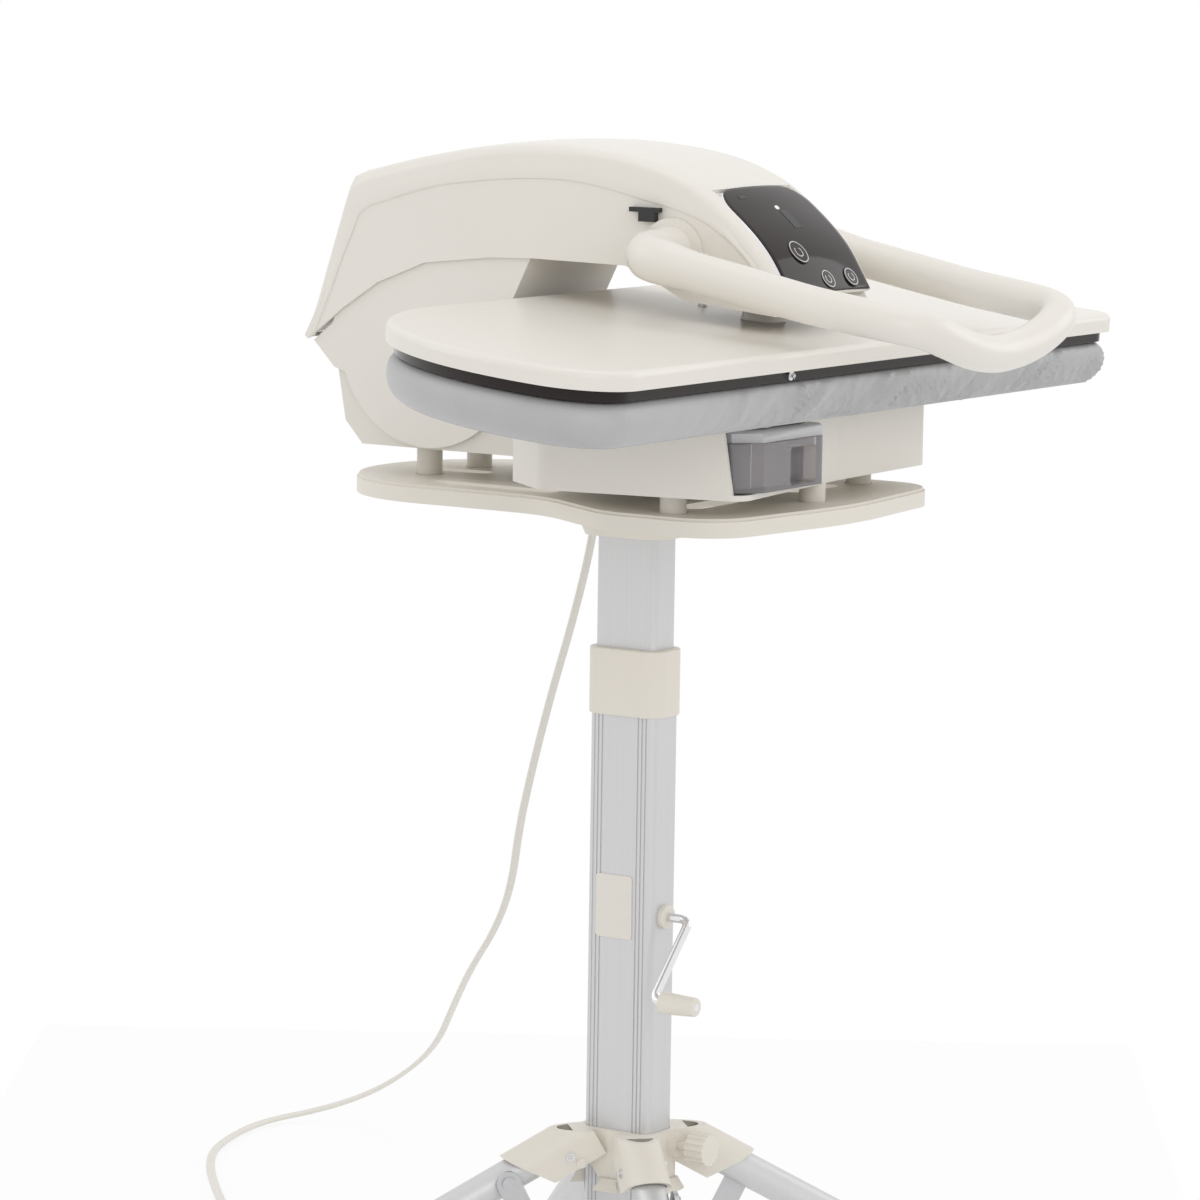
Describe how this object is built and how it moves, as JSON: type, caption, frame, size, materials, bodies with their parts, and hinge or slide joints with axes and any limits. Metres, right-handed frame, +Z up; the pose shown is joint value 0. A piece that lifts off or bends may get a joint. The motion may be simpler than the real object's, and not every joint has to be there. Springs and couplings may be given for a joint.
{
  "type": "steam ironing press",
  "caption": "Steam ironing press with a long padded board and hinged pressing arm, on a crank-up mast with folding legs",
  "frame": {"origin": "on the floor under the axis of the mast", "axes": "+Z up, -Y towards the user, X along the ironing board with the rounded nose at -X"},
  "size_m": [0.871, 0.954, 0.8381],
  "materials": {
    "cream": "satin moulded cream",
    "beige": "moulded beige",
    "alloy": "satin anodised",
    "steel": "brushed",
    "chrome": "polished",
    "dark_gloss": "polished dark",
    "black": "satin black",
    "cover_cloth": "metallised cotton",
    "smoke": "tinted clear",
    "rubber": "matt pale",
    "circuit": "circuit board",
    "cord": "pale cord sheath",
    "grey": "moulded grey"
  },
  "bodies": {
    "stand": {"mast_lower": "alloy", "mast_collar": "beige", "crank_bush": "beige", "foot_collar": "beige", "label_plate": "beige", "cord_free": "cord", "cord_coil": "cord", "plug": "cord"},
    "hub": {"leg_hub": "beige"},
    "clamp_knob": {"hub_knob": "beige"},
    "crank": {"crank_rod": "chrome", "crank_pinion": "steel"},
    "grip": {"crank_grip": "beige"},
    "press": {"mast_upper": "alloy", "lift_rack": "steel", "tray": "beige", "tray_socket": "beige", "base_pan": "cream", "base_casing": "cream", "base_feet": "cream", "pivot_frame": "steel", "pivot_shaft": "steel", "lift_springs": "steel", "water_pump": "grey", "power_board": "circuit", "cord_gland": "cream", "press_board": "steel", "pad": "cover_cloth"},
    "tank": {"water_tank": "smoke", "tank_lid": "smoke"},
    "arm": {"arm_top_cover": "cream", "arm_casing": "cream", "arm_neck": "cream", "arm_beam": "steel", "plate_bracket": "cream", "handle_bosses": "cream", "control_panel": "dark_gloss", "control_board": "circuit", "heated_plate": "alloy", "heat_guard": "dark_gloss", "plate_cover": "cream", "lock_lever": "black"},
    "handle": {"handle": "cream"},
    "power_button": {"power_button": "grey"},
    "mode_button": {"mode_button": "grey"},
    "steam_button": {"steam_button": "grey"},
    "leg_rear_right": {"leg_rear_right": "alloy", "foot_cap_rear_right": "rubber"},
    "brace_rear_right": {"brace_rear_right": "steel"},
    "leg_rear_left": {"leg_rear_left": "alloy", "foot_cap_rear_left": "rubber"},
    "brace_rear_left": {"brace_rear_left": "steel"},
    "leg_front_left": {"leg_front_left": "alloy", "foot_cap_front_left": "rubber"},
    "brace_front_left": {"brace_front_left": "steel"},
    "leg_front_right": {"leg_front_right": "alloy", "foot_cap_front_right": "rubber"},
    "brace_front_right": {"brace_front_right": "steel"}
  },
  "joints": [
    {"name": "hub_slide", "type": "slide", "parent": "stand", "child": "hub", "axis": [0, 0, 1], "range_m": [0, 0.0298]},
    {"name": "knob_turn", "type": "hinge", "parent": "hub", "child": "clamp_knob", "pos_m": [0.008, -0.053, 0.177], "axis": [0, -1, 0], "continuous": true},
    {"name": "leg_fold_rear_right", "type": "hinge", "parent": "hub", "child": "leg_rear_right", "pos_m": [0.03253, 0.03253, 0.1744], "axis": [-0.7071, 0.7071, 0], "range_deg": [0, 48.9]},
    {"name": "brace_fold_rear_right", "type": "hinge", "parent": "stand", "child": "brace_rear_right", "pos_m": [0.02616, 0.02616, 0.062], "axis": [0.7071, -0.7071, 0], "range_deg": [0, 16.48]},
    {"name": "leg_fold_rear_left", "type": "hinge", "parent": "hub", "child": "leg_rear_left", "pos_m": [-0.03253, 0.03253, 0.1744], "axis": [-0.7071, -0.7071, 0], "range_deg": [0, 48.9]},
    {"name": "brace_fold_rear_left", "type": "hinge", "parent": "stand", "child": "brace_rear_left", "pos_m": [-0.02616, 0.02616, 0.062], "axis": [0.7071, 0.7071, 0], "range_deg": [0, 16.48]},
    {"name": "leg_fold_front_left", "type": "hinge", "parent": "hub", "child": "leg_front_left", "pos_m": [-0.03253, -0.03253, 0.1744], "axis": [0.7071, -0.7071, 0], "range_deg": [0, 48.9]},
    {"name": "brace_fold_front_left", "type": "hinge", "parent": "stand", "child": "brace_front_left", "pos_m": [-0.02616, -0.02616, 0.062], "axis": [-0.7071, 0.7071, 0], "range_deg": [0, 16.48]},
    {"name": "leg_fold_front_right", "type": "hinge", "parent": "hub", "child": "leg_front_right", "pos_m": [0.03253, -0.03253, 0.1744], "axis": [0.7071, 0.7071, 0], "range_deg": [0, 48.9]},
    {"name": "brace_fold_front_right", "type": "hinge", "parent": "stand", "child": "brace_front_right", "pos_m": [0.02616, -0.02616, 0.062], "axis": [-0.7071, -0.7071, 0], "range_deg": [0, 16.48]},
    {"name": "lift", "type": "slide", "parent": "stand", "child": "press", "axis": [0, 0, 1], "range_m": [-0.06, 0.14]},
    {"name": "crank_turn", "type": "hinge", "parent": "stand", "child": "crank", "pos_m": [0, -0.03, 0.331], "axis": [0, -1, 0], "range_deg": [-491.11, 1145.92]},
    {"name": "grip_spin", "type": "hinge", "parent": "crank", "child": "grip", "pos_m": [-0.04365, -0.066, 0.28419], "axis": [0, -1, 0], "continuous": true},
    {"name": "tank_slide", "type": "slide", "parent": "press", "child": "tank", "axis": [0, -1, 0], "range_m": [0, 0.13]},
    {"name": "arm_open", "type": "hinge", "parent": "press", "child": "arm", "pos_m": [0, 0.131, 0.704], "axis": [-1, 0, 0], "range_deg": [0, 34]},
    {"name": "handle_turn", "type": "hinge", "parent": "arm", "child": "handle", "pos_m": [0, -0.062, 0.772], "axis": [-1, 0, 0], "range_deg": [0, 24]},
    {"name": "power_button_press", "type": "slide", "parent": "arm", "child": "power_button", "axis": [0, 0.766, -0.6428], "range_m": [0, 0.0015], "stiffness_N_per_m": 800},
    {"name": "mode_button_press", "type": "slide", "parent": "arm", "child": "mode_button", "axis": [0, 0.829, -0.5592], "range_m": [0, 0.0015], "stiffness_N_per_m": 800},
    {"name": "steam_button_press", "type": "slide", "parent": "arm", "child": "steam_button", "axis": [0, 0.829, -0.5592], "range_m": [0, 0.0015], "stiffness_N_per_m": 800}
  ],
  "couplings": [
    {"joint": "leg_fold_rear_right", "follows": "hub_slide", "rad_per_m": 28.64},
    {"joint": "brace_fold_rear_right", "follows": "hub_slide", "rad_per_m": 9.652},
    {"joint": "leg_fold_rear_left", "follows": "hub_slide", "rad_per_m": 28.64},
    {"joint": "brace_fold_rear_left", "follows": "hub_slide", "rad_per_m": 9.652},
    {"joint": "leg_fold_front_left", "follows": "hub_slide", "rad_per_m": 28.64},
    {"joint": "brace_fold_front_left", "follows": "hub_slide", "rad_per_m": 9.652},
    {"joint": "leg_fold_front_right", "follows": "hub_slide", "rad_per_m": 28.64},
    {"joint": "brace_fold_front_right", "follows": "hub_slide", "rad_per_m": 9.652},
    {"joint": "crank_turn", "follows": "lift", "rad_per_m": 142.86}
  ]
}
